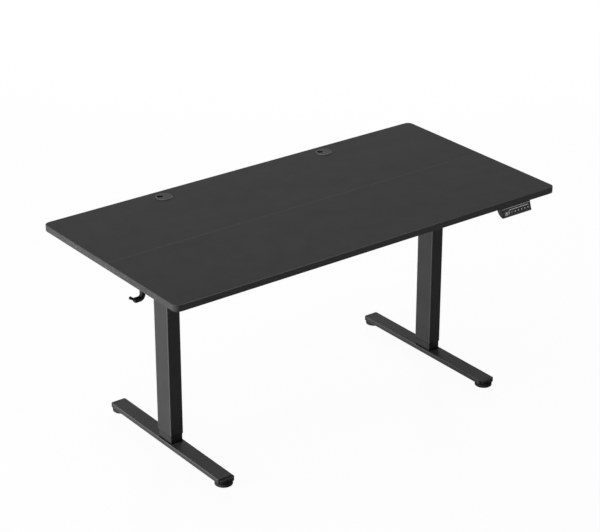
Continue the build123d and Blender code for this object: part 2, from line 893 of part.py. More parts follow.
def handset_case():
    plane = Plane(origin=(handset_x - handset_length / 2, 0, 0), x_dir=(0, 1, 0), z_dir=(1, 0, 0))
    toe = (handset_front, underside - handset_height)
    brow = (handset_front + handset_lean, underside)
    heel = (handset_front + handset_depth, underside)
    belly = EllipticalCenterArc(
        (handset_front, underside), handset_depth, handset_height, start_angle=270, arc_size=90
    )
    profile = make_face([belly, Line(heel, brow), Line(brow, toe)])
    case = extrude(plane * profile, handset_length)
    top_edges = case.edges().group_by(Axis.Z)[-1]
    rims = [edge for edge in case.edges() if edge not in top_edges]
    case = fillet(rims, handset_round)
    flange_y = handset_front + handset_depth + handset_flange_reach / 2 - handset_round
    flange = Pos(handset_x, flange_y) * rounded(
        handset_flange_width, handset_flange_reach + 2 * handset_round, handset_flange_corner
    )
    case += prism(flange, underside - handset_flange, underside)
    screw_y = handset_front + handset_depth + handset_flange_reach / 2
    for turn in (-1, 1):
        x = handset_x + turn * handset_screw_x
        case -= drill(wood_screw_radius + screw_clearance, underside - handset_flange, underside, x, screw_y)
    case -= face_block(rounded(fascia_length, fascia_height, fascia_corner), -fascia_sheet, cut_over)
    cavity = rounded(cavity_length, cavity_height, cavity_corner)
    return case - face_block(cavity, -fascia_sheet - cavity_depth, cut_over)


def key_centres():
    return [handset_left + first_key + count * key_pitch for count in range(key_count)]


def handset_fascia():
    size = (fascia_length - 2 * fascia_fit, fascia_height - 2 * fascia_fit)
    plate = rounded(*size, fascia_corner - fascia_fit)
    for u in key_centres():
        opening = rounded(key_width + 2 * key_gap, key_height + 2 * key_gap, key_corner + key_gap)
        plate -= Pos(u, -key_drop) * opening
    u = handset_left + display_from_end
    window = Rectangle(display_width + 2 * fascia_fit, display_height + 2 * fascia_fit)
    plate -= Pos(u, -display_drop) * window
    return face_block(plate, -fascia_sheet, 0)


def handset_board():
    """Circuit board on the cavity's floor, with a switch under each key."""
    floor = -fascia_sheet - cavity_depth
    outline = rounded(cavity_length - 2 * fascia_fit, cavity_height - 2 * fascia_fit, cavity_corner)
    plate = prism(outline, floor, floor + board_sheet)
    switch_top = -fascia_sheet - key_stop_gap - key_flange_sheet - key_stem - key_travel - key_stop_gap
    for u in key_centres():
        plate += post(dome_radius, floor + board_sheet, switch_top, u, -key_drop)
    return handset_face * plate


def handset_display():
    """Number display standing on the circuit board, flush with the fascia."""
    u = handset_left + display_from_end
    low = -fascia_sheet - cavity_depth + board_sheet
    return face_block(Pos(u, -display_drop) * Rectangle(display_width, display_height), low, 0)


def handset_key(u):
    cap = prism(rounded(key_width, key_height, key_corner), -fascia_sheet - key_stop_gap, key_proud)
    cap = fillet(cap.edges().group_by(Axis.Z)[-1], key_round)
    flange_top = -fascia_sheet - key_stop_gap
    flange = rounded(key_width + 2 * key_flange, key_height + 2 * key_flange, key_corner + key_flange)
    cap += prism(flange, flange_top - key_flange_sheet, flange_top)
    stem_top = flange_top - key_flange_sheet
    cap += post(dome_radius, stem_top - key_stem, stem_top)
    return handset_face * Pos(u, -key_drop, 0) * cap


# Headphone hook


def headphone_hook():
    """Bent bar on a screw plate: down, outwards to a blunt end, and a finger with a ball tip."""
    top = underside - hook_plate
    sole = underside - hook_drop
    low = sole + hook_bar / 2
    path = FilletPolyline(
        (hook_x, hook_y, top), (hook_x, hook_y, low), (hook_x - hook_reach, hook_y, low), radius=hook_bend
    )
    start = Plane(origin=path @ 0, x_dir=(1, 0, 0), z_dir=(0, 0, -1))
    bar = sweep(start * rounded(hook_bar, hook_bar_depth, hook_bar_round), path=path)
    bar = fillet(bar.faces().sort_by(Axis.X)[0].edges(), hook_end_round)
    plate = Pos(hook_x, hook_y) * rounded(hook_plate_x, hook_plate_y, hook_plate_corner)
    hook = prism(plate, top, underside) + bar
    slope = math.radians(hook_neck_slope)
    ball = (hook_x - hook_ball_reach, hook_y, sole + hook_ball_rise)
    inwards = (math.cos(slope), 0, -math.sin(slope))
    hook += Plane(origin=ball, z_dir=inwards) * post(hook_neck_radius, 0, hook_neck)
    hook += Pos(*ball) * Sphere(hook_ball_radius)
    for way in (-1, 1):
        y = hook_y + way * hook_screw_y
        hook -= drill(wood_screw_radius + screw_clearance, top, underside, hook_x, y)
    return hook


# Write every node

for side, turn in sides.items():
    here = Pos(turn * column_offset, 0)
    save(f"{side}_foot_beam", here * foot_beam())
    save(f"{side}_front_foot_cap", here * Rot(0, 0, 180) * foot_cap())
    save(f"{side}_rear_foot_cap", here * foot_cap())
    for end, way in ends.items():
        save(f"{side}_{end}_leveller", here * Pos(0, way * (foot_length / 2 - leveller_inset)) * leveller())
    save(f"{side}_inner_tube", here * inner_tube())
    save(f"{side}_outer_tube", here * outer_tube())
    save(f"{side}_spindle", here * spindle())
    save(f"{side}_spindle_gear", here * spindle_gear())
    save(f"{side}_side_bracket", here * side_bracket())
    save(f"{side}_grommet_cap", Pos(turn * grommet_x, grommet_y) * grommet_cap())

columns = [Pos(turn * column_offset, 0) for turn in sides.values()]
leveller_places = [
    Pos(turn * column_offset, way * (foot_length / 2 - leveller_inset))
    for turn in sides.values()
    for way in ends.values()
]
save("leveller_inserts", *[place * leveller_insert() for place in leveller_places])
save("column_base_plates", *[place * column_base() for place in columns])
save("foot_bolts", *[place * Pos(x, y) * foot_bolt() for place in columns for x, y in foot_bolt_places])
save("spindle_nuts", *[place * spindle_nut() for place in columns])
save("inner_tube_glides", *[place * pad for place in columns for pad in inner_glides()])
save("outer_tube_glides", *[place * pad for place in columns for pad in outer_glides()])
save("column_head_plates", *[place * column_head() for place in columns])
save("gear_housings", *[place * gear_housing() for place in columns])
save("spindle_bearings", *[place * spindle_bearing() for place in columns])
save("cross_shaft", cross_shaft())
save("shaft_pinions", *[place * shaft_pinion() for place in columns])
save("frame_bolts", *frame_bolts())
save("splice_plates", *[Pos(x, 0) * splice_plate() for x in splice_centres()])
save("board_screws", *board_screws())
for end, way in ends.items():
    save(f"{end}_cross_rail", cross_rail(way))
    save(f"{end}_board", board(way))
    save(f"{end}_edge_band", edge_strip(way))
save("drive_housing", drive_housing())
save("motor_can", motor_can())
save("motor_end_cap", motor_end_cap())
save("control_box_shell", box_shell())
save("control_box_sockets", *box_sockets())
save("control_box_lid", box_lid_plate())
save("grommet_liners", *[Pos(turn * grommet_x, grommet_y) * grommet_liner() for turn in sides.values()])
save("handset_case", handset_case())
save("handset_fascia", handset_fascia())
save("handset_board", handset_board())
save("handset_display", handset_display())
key_names = ["key_1", "key_2", "key_3", "key_4", "key_up", "key_down"]
for name, u in zip(key_names, key_centres()):
    save(name, handset_key(u))
save("headphone_hook", headphone_hook())
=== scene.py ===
import json
import math

import bpy
from mathutils import Matrix, Vector


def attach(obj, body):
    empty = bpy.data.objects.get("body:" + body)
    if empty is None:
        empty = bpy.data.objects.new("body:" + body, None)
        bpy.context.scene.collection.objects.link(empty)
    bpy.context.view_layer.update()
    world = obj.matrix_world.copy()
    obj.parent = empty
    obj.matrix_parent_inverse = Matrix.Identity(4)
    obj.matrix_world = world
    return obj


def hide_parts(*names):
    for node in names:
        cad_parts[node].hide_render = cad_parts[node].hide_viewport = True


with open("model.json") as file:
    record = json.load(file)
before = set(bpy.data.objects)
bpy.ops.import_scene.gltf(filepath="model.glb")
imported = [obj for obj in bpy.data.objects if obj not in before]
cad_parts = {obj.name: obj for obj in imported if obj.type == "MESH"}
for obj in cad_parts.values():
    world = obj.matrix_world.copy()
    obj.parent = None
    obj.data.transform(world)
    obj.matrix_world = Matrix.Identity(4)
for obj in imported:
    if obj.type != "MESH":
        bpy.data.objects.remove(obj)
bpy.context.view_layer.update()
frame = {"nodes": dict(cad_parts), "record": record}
nodes = frame["nodes"]

mm = 0.001
right_angle = math.pi / 2
smooth_angle = math.radians(35)

# Places on the desk, in millimetres
column_x = 548
desk_top = 714
tube_stop = 56
foot_top = 27
grommet_x = 333
grommet_y = 331
hook_x = -727.7
hook_y = -147
handset_x = 585.2
first_key = -22.25
key_pitch = 14.3
key_drop = 2.3
key_proud = 0.7
motor_middle = (-415, 38, 664)

# How pale each finish is, as a share of white
laminate_level = 0.03
band_level = 0.048
# Grey of the painted highlight on the edge band's top edge
edge_highlight_level = 0.125
coat_level = 0.042
# Grey of the painted highlight on the columns' upright corners
corner_highlight_level = 0.1
foot_level = 0.047
# Grey of the painted highlight on the feet's long upper edges
foot_edge_highlight_level = 0.13
inner_level = 0.036
# Grey of the painted shade on the inner tubes at the foot and under the outer tube's edge
joint_shade_level = 0.005
cap_level = 0.032
# Greys of the painted shade on the front caps' sides and joint, and of the painted highlight along their
# lip
cap_shade = 0.003
lip_highlight_level = 0.09
pad_level = 0.036
grommet_level = 0.028
# Greys of the painted highlight on the grommet rim's lip and of the painted shade inside its sleeve
rim_highlight_level = 0.12
sleeve_shade_level = 0.003
hook_level = 0.022
floor_level = 0.66

# Shares of light: painted glow of the print, display, floor as the camera sees it, and the room round the
# desk
painted_print_glow = 0.3
digit_glow = 0.7
floor_glow = 0.96
room_light = 0.03


class Value:
    """One output socket in a node tree. Arithmetic on it adds Math nodes."""

    def __init__(self, wiring, socket):
        self.wiring = wiring
        self.socket = socket

    def math(self, operation, first, second):
        """A new Math node on two values or numbers."""
        return self.wiring.node("ShaderNodeMath", {"operation": operation}, {0: first, 1: second})

    def __add__(self, other):
        return self.math("ADD", self, other)

    def __radd__(self, other):
        return self.math("ADD", other, self)

    def __sub__(self, other):
        return self.math("SUBTRACT", self, other)

    def __rsub__(self, other):
        return self.math("SUBTRACT", other, self)

    def __mul__(self, other):
        return self.math("MULTIPLY", self, other)

    def __rmul__(self, other):
        return self.math("MULTIPLY", other, self)

    def __abs__(self):
        return self.math("ABSOLUTE", self, 0.0)

    def __lt__(self, other):
        return self.math("LESS_THAN", self, other)

    def larger(self, other):
        """The larger of two values."""
        return self.math("MAXIMUM", self, other)


class Wiring:
    """Adds nodes to one node tree and joins their sockets."""

    def __init__(self, tree):
        self.tree = tree

    def node(self, kind, settings, inputs, out=0):
        """Adds a node, sets it up, feeds its inputs and hands back one of its outputs."""
        made = self.tree.nodes.new(kind)
        for setting, value in settings.items():
            setattr(made, setting, value)
        for socket, value in inputs.items():
            self.feed(made.inputs[socket], value)
        return Value(self, made.outputs[out])

    def feed(self, socket, value):
        """Links a Value to the socket, or sets a plain value on it."""
        if isinstance(value, Value):
            self.tree.links.new(value.socket, socket)
        else:
            socket.default_value = value

    def seen_or_mirrored(self):
        """1 for a ray from the camera, off gloss or through glass, 0 for the light that falls on things."""
        from_camera = self.node("ShaderNodeLightPath", {}, {}, "Is Camera Ray")
        from_gloss = self.node("ShaderNodeLightPath", {}, {}, "Is Glossy Ray")
        through_glass = self.node("ShaderNodeLightPath", {}, {}, "Is Transmission Ray")
        return from_camera.larger(from_gloss).larger(through_glass)


class Finish(Wiring):
    """A material with one Principled shader, whose other nodes come from node()."""

    def __init__(self, name, specular=0.2, metallic=0.0):
        self.material = bpy.data.materials.new(name)
        self.material.use_nodes = True
        Wiring.__init__(self, self.material.node_tree)
        self.shader = self.tree.nodes["Principled BSDF"]
        self.set("Specular IOR Level", specular)
        self.set("Metallic", metallic)
        self.place = self.node("ShaderNodeTexCoord", {}, {}, "Object")

    def set(self, socket, value):
        """Feeds one socket of the shader."""
        self.feed(self.shader.inputs[socket], value)

    def grain(self, size, detail, stretch=None):
        """Noise from 0 to 1 whose lumps are about size metres across."""
        place = self.place
        if stretch:
            place = self.node("ShaderNodeMapping", {}, {"Vector": place, "Scale": stretch})
        return self.node(
            "ShaderNodeTexNoise", {}, {"Vector": place, "Scale": 1 / size, "Detail": detail}
        )

    def between(self, value, low, high):
        """0 below low, 1 above high and smooth between them."""
        return self.node(
            "ShaderNodeMapRange",
            {"interpolation_type": "SMOOTHSTEP"},
            {"Value": value, "From Min": low, "From Max": high},
        )

    def along(self, axis):
        """Place along the object's X, Y or Z axis in metres."""
        return self.node("ShaderNodeSeparateXYZ", {}, {"Vector": self.place}, axis)

    def from_column(self):
        """Distance to the side of the nearer column's middle, in metres."""
        return abs(abs(self.along("X")) - column_x * mm)

    def blend(self, share, first, second):
        """The first colour where share is 0 and the second where it is 1."""
        return self.node("ShaderNodeMix", {"data_type": "RGBA"}, {0: share, 6: first, 7: second}, 2)

    def tint(self, share, first, second):
        """A blend of two plain colours."""
        return self.blend(share, (*first, 1), (*second, 1))

    def clouds(self, noise, low, high, colours):
        """Two plain colours in soft clouds, parted where the noise lies between low and high."""
        return self.tint(self.between(noise, low, high), *colours)

    def emboss(self, height, depth):
        """Feeds the Normal from a height between 0 and 1 that stands for depth metres."""
        normal = self.node("ShaderNodeBump", {}, {"Height": height, "Strength": 1.0, "Distance": depth})
        self.set("Normal", normal)


def grey(level, cool=1.0):
    """A grey for a blend; above 1, cool turns it a little blue."""
    return level, level, level * cool, 1


def shades(level, spread):
    """A dark and a light grey either side of level, a little cool."""
    cool = 1.03
    dark = level * (1 - spread)
    light = level * (1 + spread)
    return (dark, dark, dark * cool), (light, light, light * cool)


def moulded_black(name, level, grain_size, depth, roughness, specular=0.2):
    """Black plastic from a spark-eroded mould: an even fine grain, with slow drift in the gloss."""
    finish = Finish(name, specular)
    grain = finish.grain(grain_size, 1.0)
    drift = finish.grain(35 * mm, 3.0)
    finish.set("Base Color", finish.clouds(drift, 0.3, 0.7, shades(level, 0.08)))
    finish.set("Roughness", roughness - 0.06 + 0.08 * drift + 0.05 * grain)
    finish.emboss(grain, depth)
    return finish


def laminate_finish():
    """Matte black laminate: fine pearl emboss, faint pores, dull wiped patches and a painted highlight
    along the middle seam.
    """
    finish = Finish("matte black laminate", 0.07)
    pearl = finish.grain(1.1 * mm, 2.0)
    pores = finish.grain(0.7 * mm, 1.0, stretch=(0.12, 1.0, 1.0))
    wiped = finish.grain(140 * mm, 3.0, stretch=(0.6, 1.0, 1.0))
    cloud = finish.grain(60 * mm, 2.0)
    ground = finish.clouds(cloud, 0.25, 0.75, shades(laminate_level, 0.05))
    pore_mark = finish.between(pores, 0.62, 0.74)
    surface = finish.blend(0.25 * pore_mark, ground, grey(0.72 * laminate_level, 1.04))
    # Painted highlight: a pale line along the seam, where the boards' edges catch the light
    seam_highlight = 1 - finish.between(abs(finish.along("Y")), 1.2 * mm, 2.4 * mm)
    finish.set("Base Color", finish.blend(seam_highlight, surface, grey(2.0 * laminate_level, 1.02)))
    finish.set("Roughness", 0.6 + 0.08 * wiped - 0.05 * pearl)
    finish.emboss(pearl - 0.2 * pore_mark, 0.04 * mm)
    return finish


def edge_band_finish():
    """Plastic edge band with fine lines drawn along it by the extruder, and a painted highlight along its
    top edge.
    """
    finish = Finish("matte black edge band", 0.12)
    lines = finish.grain(0.5 * mm, 1.0, stretch=(0.05, 0.05, 1.0))
    drift = finish.grain(40 * mm, 2.0)
    ground = finish.clouds(drift, 0.3, 0.7, shades(band_level, 0.06))
    # Painted highlight on the rounded top edge of the long sides, weaker towards the right
    upper_edge = finish.between(finish.along("Z"), (desk_top - 1.6) * mm, (desk_top - 1.1) * mm)
    long_side = 1 - finish.between(abs(finish.along("X")), 730 * mm, 755 * mm)
    less_to_the_right = 1 - 0.75 * finish.between(finish.along("X"), 50 * mm, 650 * mm)
    edge_highlight = upper_edge * long_side * less_to_the_right
    finish.set("Base Color", finish.blend(edge_highlight, ground, grey(edge_highlight_level)))
    finish.set("Roughness", 0.5 + 0.1 * lines)
    finish.emboss(lines, 0.02 * mm)
    return finish


def powder_coat_finish(name, level, painted_marks, painted_mark_level):
    """Fine matte powder coat: small even orange peel, sparse bright specks and marks of another grey that
    paint highlights or shade.
    """
    finish = Finish(name, 0.09)
    peel = finish.grain(1.6 * mm, 2.0)
    speck = finish.between(finish.grain(0.6 * mm, 0.0), 0.66, 0.78)
    drift = finish.grain(90 * mm, 2.0)
    ground = finish.clouds(drift, 0.3, 0.7, shades(level, 0.06))
    coat = finish.blend(0.3 * speck, ground, grey(1.7 * level, 1.03))
    finish.set("Base Color", finish.blend(painted_marks(finish), coat, grey(painted_mark_level, 1.02)))
    finish.set("Roughness", 0.52 + 0.1 * peel + 0.05 * drift)
    finish.emboss(peel + 0.3 * speck, 0.06 * mm)
    return finish


def column_corners(finish):
    """1 on the four upright corners of both columns' outer tubes, where a paler grey paints a highlight."""
    along = abs(finish.along("Y"))
    begins = finish.between(along, 35.3 * mm, 36 * mm)
    ends = finish.between(along, 37.5 * mm, 38.2 * mm)
    return finish.between(finish.from_column(), 21.5 * mm, 22.5 * mm) * (begins * (1 - ends))


def foot_edges(finish):
    """1 on the long upper edges of both feet, where a paler grey paints a highlight."""
    at_side = finish.between(finish.from_column(), 26.9 * mm, 27.5 * mm)
    at_top = finish.between(finish.along("Z"), (foot_top - 2.2) * mm, (foot_top - 1.4) * mm)
    return at_side * at_top


def joint_shade_lines(finish):
    """1 on two dark lines of painted shade low on the inner tubes: at the foot, and where the outer tube
    stops.
    """
    height = finish.along("Z")
    at_foot = 1 - finish.between(height, (foot_top + 2) * mm, (foot_top + 5) * mm)
    begins = finish.between(height, (tube_stop - 5) * mm, (tube_stop - 3) * mm)
    ends = finish.between(height, (tube_stop + 4) * mm, (tube_stop + 6) * mm)
    return at_foot.larger(begins * (1 - ends))


def foot_cap_finish():
    """Smooth cap plastic: front caps with painted shade on the sides and a painted highlight along the lip,
    the left front cap with a painted shadow at its top joint, rear caps foot grey.
    """
    finish = Finish("smooth foot cap plastic", 0.05)
    grain = finish.grain(0.7 * mm, 1.0)
    drift = finish.grain(20 * mm, 2.0)
    along = abs(finish.along("Y"))
    height = finish.along("Z")
    at_left = finish.along("X") < 0
    at_rear = 1 - (finish.along("Y") < 0)
    on_top = finish.between(height, (foot_top - 1.6) * mm, (foot_top - 0.6) * mm)
    # Painted shade on the front caps' sides, a painted highlight along the lip and a painted shadow at the
    # left front cap's top joint
    side = finish.between(finish.from_column(), 26.4 * mm, 27.4 * mm) * (1 - on_top)
    lip = finish.between(along, 319.6 * mm, 320.6 * mm) * finish.between(height, 21 * mm, 23 * mm)
    joint_shadow = on_top * (1 - finish.between(along, 318.6 * mm, 319.6 * mm)) * at_left
    surface = finish.clouds(drift, 0.3, 0.7, shades(cap_level, 0.08))
    surface = finish.blend(on_top, surface, grey(foot_level))
    surface = finish.blend(side.larger(joint_shadow), surface, grey(cap_shade))
    surface = finish.blend(lip, surface, grey(lip_highlight_level))
    finish.set("Base Color", finish.blend(at_rear, surface, grey(foot_level)))
    finish.set("Roughness", 0.44 + 0.08 * drift + 0.05 * grain)
    finish.emboss(grain, 0.04 * mm)
    return finish


def grommet_rim_finish():
    """Satin rim plastic, with a painted highlight on the front half of its lip and painted shade down
    inside the sleeve.
    """
    finish = Finish("satin grommet rim plastic", 0.2)
    grain = finish.grain(0.7 * mm, 1.0)
    across = abs(finish.along("X")) - grommet_x * mm
    along = finish.along("Y") - grommet_y * mm
    radius_squared = across * across + along * along
    # Painted highlight on the front half of the outer edge, painted shade down inside the sleeve
    outer_edge = finish.between(radius_squared, (26.8 * mm) ** 2, (27.6 * mm) ** 2)
    front_half = 1 - finish.between(along, -6 * mm, 8 * mm)
    inside = 1 - finish.between(finish.along("Z"), (desk_top - 2) * mm, (desk_top - 0.5) * mm)
    surface = finish.tint(grain, *shades(grommet_level, 0.06))
    surface = finish.blend(outer_edge * front_half, surface, grey(rim_highlight_level))
    finish.set("Base Color", finish.blend(inside, surface, grey(sleeve_shade_level)))
    finish.set("Roughness", 0.4 + 0.08 * grain)
    finish.emboss(grain, 0.03 * mm)
    return finish


def pad_finish():
    """Dull pad plastic with a chalky bloom and scuffs."""
    finish = Finish("dull pad plastic", 0.08)
    bloom = finish.grain(6 * mm, 4.0)
    grain = finish.grain(0.8 * mm, 1.0)
    finish.set("Base Color", finish.clouds(bloom, 0.35, 0.75, shades(pad_level, 0.14)))
    finish.set("Roughness", 0.68 + 0.15 * bloom)
    finish.emboss(grain, 0.05 * mm)
    return finish


def zinc_finish():
    """Zinc plate: soft spangle and fine drawn lines."""
    finish = Finish("zinc plated steel", 0.5, 1.0)
    spangle = finish.node(
        "ShaderNodeTexVoronoi", {}, {"Vector": finish.place, "Scale": 1 / (2.2 * mm)}, "Color"
    )
    facet = finish.node("ShaderNodeSeparateColor", {}, {"Color": spangle}, "Red")
    lines = finish.grain(0.4 * mm, 1.0, stretch=(1.0, 1.0, 0.05))
    finish.set("Base Color", finish.tint(facet, (0.46, 0.47, 0.49), (0.62, 0.63, 0.66)))
    finish.set("Roughness", 0.3 + 0.12 * facet + 0.08 * lines)
    finish.emboss(lines, 0.02 * mm)
    return finish


def cast_alloy_finish():
    """Die-cast alloy: dull skin with shallow flow marks."""
    finish = Finish("die cast alloy", 0.5, 1.0)
    flow = finish.grain(14 * mm, 4.0, stretch=(1.0, 1.0, 0.4))
    grain = finish.grain(0.9 * mm, 2.0)
    colours = (0.34, 0.35, 0.37), (0.46, 0.47, 0.49)
    finish.set("Base Color", finish.clouds(flow, 0.3, 0.7, colours))
    finish.set("Roughness", 0.42 + 0.14 * flow + 0.06 * grain)
    finish.emboss(grain, 0.05 * mm)
    return finish


def ground_steel_finish():
    """Ground and oiled gear steel."""
    finish = Finish("ground gear steel", 0.5, 1.0)
    oil = finish.grain(9 * mm, 3.0)
    scratch = finish.grain(0.3 * mm, 1.0, stretch=(1.0, 0.06, 1.0))
    colours = (0.56, 0.55, 0.54), (0.68, 0.68, 0.69)
    finish.set("Base Color", finish.clouds(oil, 0.35, 0.7, colours))
    finish.set("Roughness", 0.2 + 0.14 * oil + 0.08 * scratch)
    finish.emboss(scratch, 0.01 * mm)
    return finish


def nylon_finish():
    """Natural nylon, waxy and slightly uneven."""
    finish = Finish("natural nylon", 0.4)
    cloud = finish.grain(8 * mm, 3.0)
    grain = finish.grain(0.7 * mm, 1.0)
    colours = (0.66, 0.65, 0.6), (0.76, 0.75, 0.71)
    finish.set("Base Color", finish.clouds(cloud, 0.3, 0.7, colours))
    finish.set("Roughness", 0.4 + 0.12 * cloud)
    finish.set("Subsurface Weight", 0.1)
    finish.set("Subsurface Scale", 1 * mm)
    finish.emboss(grain, 0.02 * mm)
    return finish


def black_oxide_finish():
    """Black oxide on steel screws: dark, oily, paler where the driver has rubbed."""
    finish = Finish("black oxide", 0.35, 0.6)
    rub = finish.grain(3 * mm, 4.0)
    grain = finish.grain(0.4 * mm, 1.0)
    colours = (0.03, 0.03, 0.032), (0.09, 0.09, 0.094)
    finish.set("Base Color", finish.clouds(rub, 0.5, 0.8, colours))
    finish.set("Roughness", 0.36 + 0.16 * rub)
    finish.emboss(grain, 0.02 * mm)
    return finish


def circuit_board_finish():
    """Green solder mask with paler traces under it."""
    finish = Finish("solder mask", 0.4)
    traces = finish.node(
        "ShaderNodeTexBrick",
        {"offset": 0.5},
        {"Vector": finish.place, "Scale": 160.0, "Mortar Size": 0.12, "Mortar Smooth": 0.2},
        "Fac",
    )
    cloud = finish.grain(6 * mm, 2.0)
    finish.set("Base Color", finish.tint(traces, (0.012, 0.09, 0.045), (0.03, 0.17, 0.08)))
    finish.set("Roughness", 0.3 + 0.12 * cloud)
    finish.emboss(traces, 0.03 * mm)
    return finish


def smoked_window_finish():
    """Smoked glossy plastic over the number display."""
    finish = Finish("smoked display window", 0.4)
    haze = finish.grain(7 * mm, 3.0)
    finish.set("Base Color", finish.tint(haze, (0.008, 0.008, 0.009), (0.016, 0.016, 0.018)))
    finish.set("Roughness", 0.1 + 0.1 * haze)
    return finish


def key_print_finish():
    """White print, slightly uneven, with a painted glow."""
    finish = Finish("white print with painted glow", 0.3)
    ink = finish.grain(0.9 * mm, 3.0)
    # Painted glow: no lamp lights the print from behind
    finish.set("Emission Color", finish.tint(ink, (0.8, 0.8, 0.8), (1.0, 1.0, 1.0)))
    finish.set("Emission Strength", painted_print_glow)
    colours = (0.6, 0.6, 0.6), (0.82, 0.82, 0.82)
    finish.set("Base Color", finish.clouds(ink, 0.25, 0.6, colours))
    finish.set("Roughness", 0.4 + 0.15 * ink)
    finish.emboss(ink, 0.01 * mm)
    return finish


def lit_digit_finish():
    """White light through the smoked display window."""
    finish = Finish("lit display bar", 0.3)
    cells = finish.grain(0.6 * mm, 1.0)
    finish.set("Base Color", finish.tint(cells, (0.5, 0.5, 0.51), (0.7, 0.7, 0.71)))
    finish.set("Emission Color", finish.tint(cells, (0.52, 0.52, 0.53), (0.75, 0.75, 0.76)))
    finish.set("Emission Strength", digit_glow)
    finish.set("Roughness", 0.3 + 0.1 * cells)
    return finish


def plated_pin_finish():
    """Gold flash over brass contacts."""
    finish = Finish("plated contact pin", 0.5, 1.0)
    rub = finish.grain(1.2 * mm, 3.0)
    finish.set("Base Color", finish.tint(rub, (0.62, 0.42, 0.16), (0.78, 0.58, 0.28)))
    finish.set("Roughness", 0.22 + 0.16 * rub)
    return finish


def label_stock_finish():
    """Blank satin label stock with a faint fibre."""
    finish = Finish("blank label stock", 0.35)
    fibre = finish.grain(1.4 * mm, 3.0, stretch=(0.3, 1.0, 1.0))
    drift = finish.grain(20 * mm, 2.0)
    colours = (0.5, 0.5, 0.5), (0.58, 0.58, 0.58)
    finish.set("Base Color", finish.clouds(fibre, 0.3, 0.7, colours))
    finish.set("Roughness", 0.42 + 0.12 * drift)
    finish.emboss(fibre, 0.01 * mm)
    return finish


finishes = {
    "laminate": laminate_finish(),
    "edge_plastic": edge_band_finish(),
    "powder_coat": powder_coat_finish(
        "fine matte powder coat", foot_level, foot_edges, foot_edge_highlight_level
    ),
    "cap_plastic": moulded_black("moulded cap plastic", 0.017, 0.7 * mm, 0.05 * mm, 0.5, 0.14),
    "pad_plastic": pad_finish(),
    "zinc_steel": zinc_finish(),
    "cast_alloy": cast_alloy_finish(),
    "bearing_steel": ground_steel_finish(),
    "nylon": nylon_finish(),
    "motor_paint": moulded_black("semi-matte motor paint", 0.03, 1.8 * mm, 0.04 * mm, 0.42, 0.3),
    "black_fastener": black_oxide_finish(),
    "box_plastic": moulded_black("moulded box plastic", 0.03, 0.8 * mm, 0.06 * mm, 0.52),
    "socket_plastic": moulded_black("moulded socket plastic", 0.05, 0.6 * mm, 0.03 * mm, 0.45),
    "handset_plastic": moulded_black("moulded handset plastic", 0.04, 0.6 * mm, 0.04 * mm, 0.5),
    "fascia_plastic": moulded_black("satin fascia plastic", 0.032, 0.5 * mm, 0.015 * mm, 0.36, 0.3),
    "key_plastic": moulded_black("soft key plastic", 0.034, 0.5 * mm, 0.02 * mm, 0.55),
    "display_plastic": smoked_window_finish(),
    "circuit_board": circuit_board_finish(),
}
column_coat = powder_coat_finish(
    "fine matte powder coat on columns", coat_level, column_corners, corner_highlight_level
)
inner_coat = powder_coat_finish(
    "fine matte powder coat with painted joint shade", inner_level, joint_shade_lines, joint_shade_level
)
foot_cap_plastic = foot_cap_finish()
hook_plastic = moulded_black("satin hook plastic", hook_level, 0.7 * mm, 0.04 * mm, 0.45, 0.04)
print_and_highlight = key_print_finish()
lit_digit = lit_digit_finish()
plated_pin = plated_pin_finish()
label_stock = label_stock_finish()
grommet_cap_plastic = moulded_black(
    "satin grommet cap plastic", grommet_level, 0.7 * mm, 0.03 * mm, 0.45, 0.12
)
grommet_rim_plastic = grommet_rim_finish()

# Nodes that look different from the others in their material slot
own_finishes = {"headphone_hook": hook_plastic, "grommet_liners": grommet_rim_plastic}
for side in ("left", "right"):
    own_finishes[side + "_outer_tube"] = column_coat
    own_finishes[side + "_inner_tube"] = inner_coat
    own_finishes[side + "_front_foot_cap"] = foot_cap_plastic
    own_finishes[side + "_rear_foot_cap"] = foot_cap_plastic
    own_finishes[side + "_grommet_cap"] = grommet_cap_plastic

for subpart in frame["record"]["subparts"]:
    node = nodes[subpart["node"]]
    finish = own_finishes.get(subpart["node"], finishes[subpart["material_slot"]])
    if node.data.materials:
        node.data.materials[0] = finish.material
    else:
        node.data.materials.append(finish.material)


def lone_piece(add, **settings):
    """Adds one primitive with nothing else selected."""
    bpy.ops.object.select_all(action="DESELECT")
    add(**settings)
    bpy.ops.object.transform_apply(location=True, rotation=True, scale=True)
    return bpy.context.object


def pick_faces(piece, wanted):
    """Goes into edit mode with only the wanted faces selected."""
    bpy.ops.object.mode_set(mode="EDIT")
    bpy.ops.mesh.select_mode(type="FACE")
    bpy.ops.mesh.select_all(action="DESELECT")
    bpy.ops.object.mode_set(mode="OBJECT")
    for face in piece.data.polygons:
        face.select = wanted(face)
    bpy.ops.object.mode_set(mode="EDIT")


def lies_on_top(face):
    """True for a face that looks up."""
    return face.normal.z > 0.9


def lies_below(face):
    """True for a face that looks down."""
    return face.normal.z < -0.9


def pick_all():
    """Goes into edit mode with all of the piece in hand selected."""
    bpy.ops.object.mode_set(mode="EDIT")
    bpy.ops.mesh.select_all(action="SELECT")


def raise_faces(height):
    """Draws the selected faces up by height."""
    bpy.ops.mesh.extrude_region_move(TRANSFORM_OT_translate={"value": (0, 0, height)})


def close_piece(piece):
    """Merges doubles, turns the faces outwards and smooths all but the sharp edges."""
    pick_all()
    bpy.ops.mesh.remove_doubles(threshold=0.002 * mm)
    bpy.ops.mesh.normals_make_consistent(inside=False)
    bpy.ops.object.mode_set(mode="OBJECT")
    bpy.ops.object.select_all(action="DESELECT")
    piece.select_set(True)
    bpy.context.view_layer.objects.active = piece
    bpy.ops.object.shade_smooth_by_angle(angle=smooth_angle)


